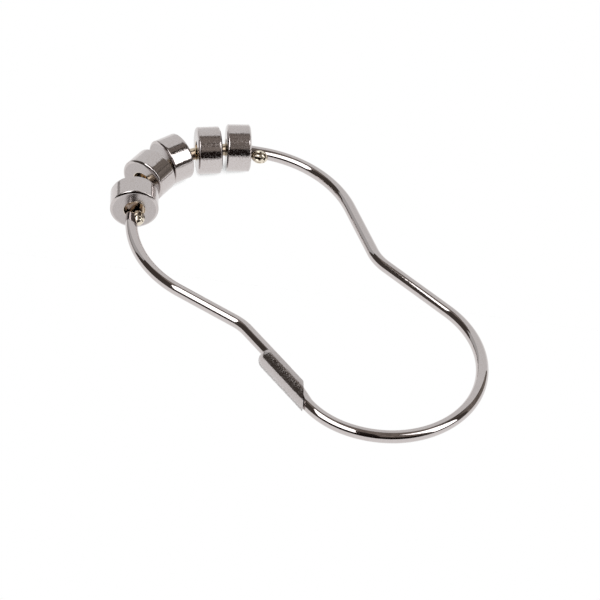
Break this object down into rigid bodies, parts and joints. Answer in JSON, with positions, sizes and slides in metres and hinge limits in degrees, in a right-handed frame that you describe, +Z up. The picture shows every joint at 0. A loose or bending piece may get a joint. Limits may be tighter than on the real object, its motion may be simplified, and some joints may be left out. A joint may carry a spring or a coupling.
{
  "type": "curtain hook",
  "caption": "Spring wire shower curtain ring, waisted, with loose turned rollers on the rod loop and a rolled sleeve clasp on the curtain loop.",
  "frame": {"origin": "centre of the footprint, on the table that the ring lies on", "axes": "+X towards the curtain loop's far end, -X towards the rollers, +Z up, -Y is the clasp side"},
  "size_m": [0.0902, 0.0466, 0.0095],
  "materials": {
    "ring_wire": "polished nickel plate",
    "clasp_sleeve": "polished nickel plate over rolled sheet",
    "roller": "polished nickel plate, lightly mottled"
  },
  "bodies": {
    "hook": {"ring_wire": "ring_wire", "clasp_sleeve": "clasp_sleeve"},
    "roller_1": {"roller_1": "roller"},
    "roller_2": {"roller_2": "roller"},
    "roller_3": {"roller_3": "roller"},
    "roller_4": {"roller_4": "roller"},
    "roller_5": {"roller_5": "roller"}
  },
  "joints": [
    {"name": "roller_1_spin", "type": "hinge", "parent": "hook", "child": "roller_1", "pos_m": [-0.03419, -0.01423, 0.00474], "axis": [0.8049, -0.5934, 0], "continuous": true},
    {"name": "roller_2_spin", "type": "hinge", "parent": "hook", "child": "roller_2", "pos_m": [-0.0389, -0.0072, 0.00474], "axis": [0.3074, -0.9516, 0], "continuous": true},
    {"name": "roller_3_spin", "type": "hinge", "parent": "hook", "child": "roller_3", "pos_m": [-0.04031, -0.00065, 0.00474], "axis": [-0.0262, -0.9997, 0], "continuous": true},
    {"name": "roller_4_spin", "type": "hinge", "parent": "hook", "child": "roller_4", "pos_m": [-0.0385, 0.00712, 0.00474], "axis": [-0.5045, -0.8634, 0], "continuous": true},
    {"name": "roller_5_spin", "type": "hinge", "parent": "hook", "child": "roller_5", "pos_m": [-0.03576, 0.01257, 0.00474], "axis": [-0.5707, -0.8211, 0], "continuous": true}
  ]
}
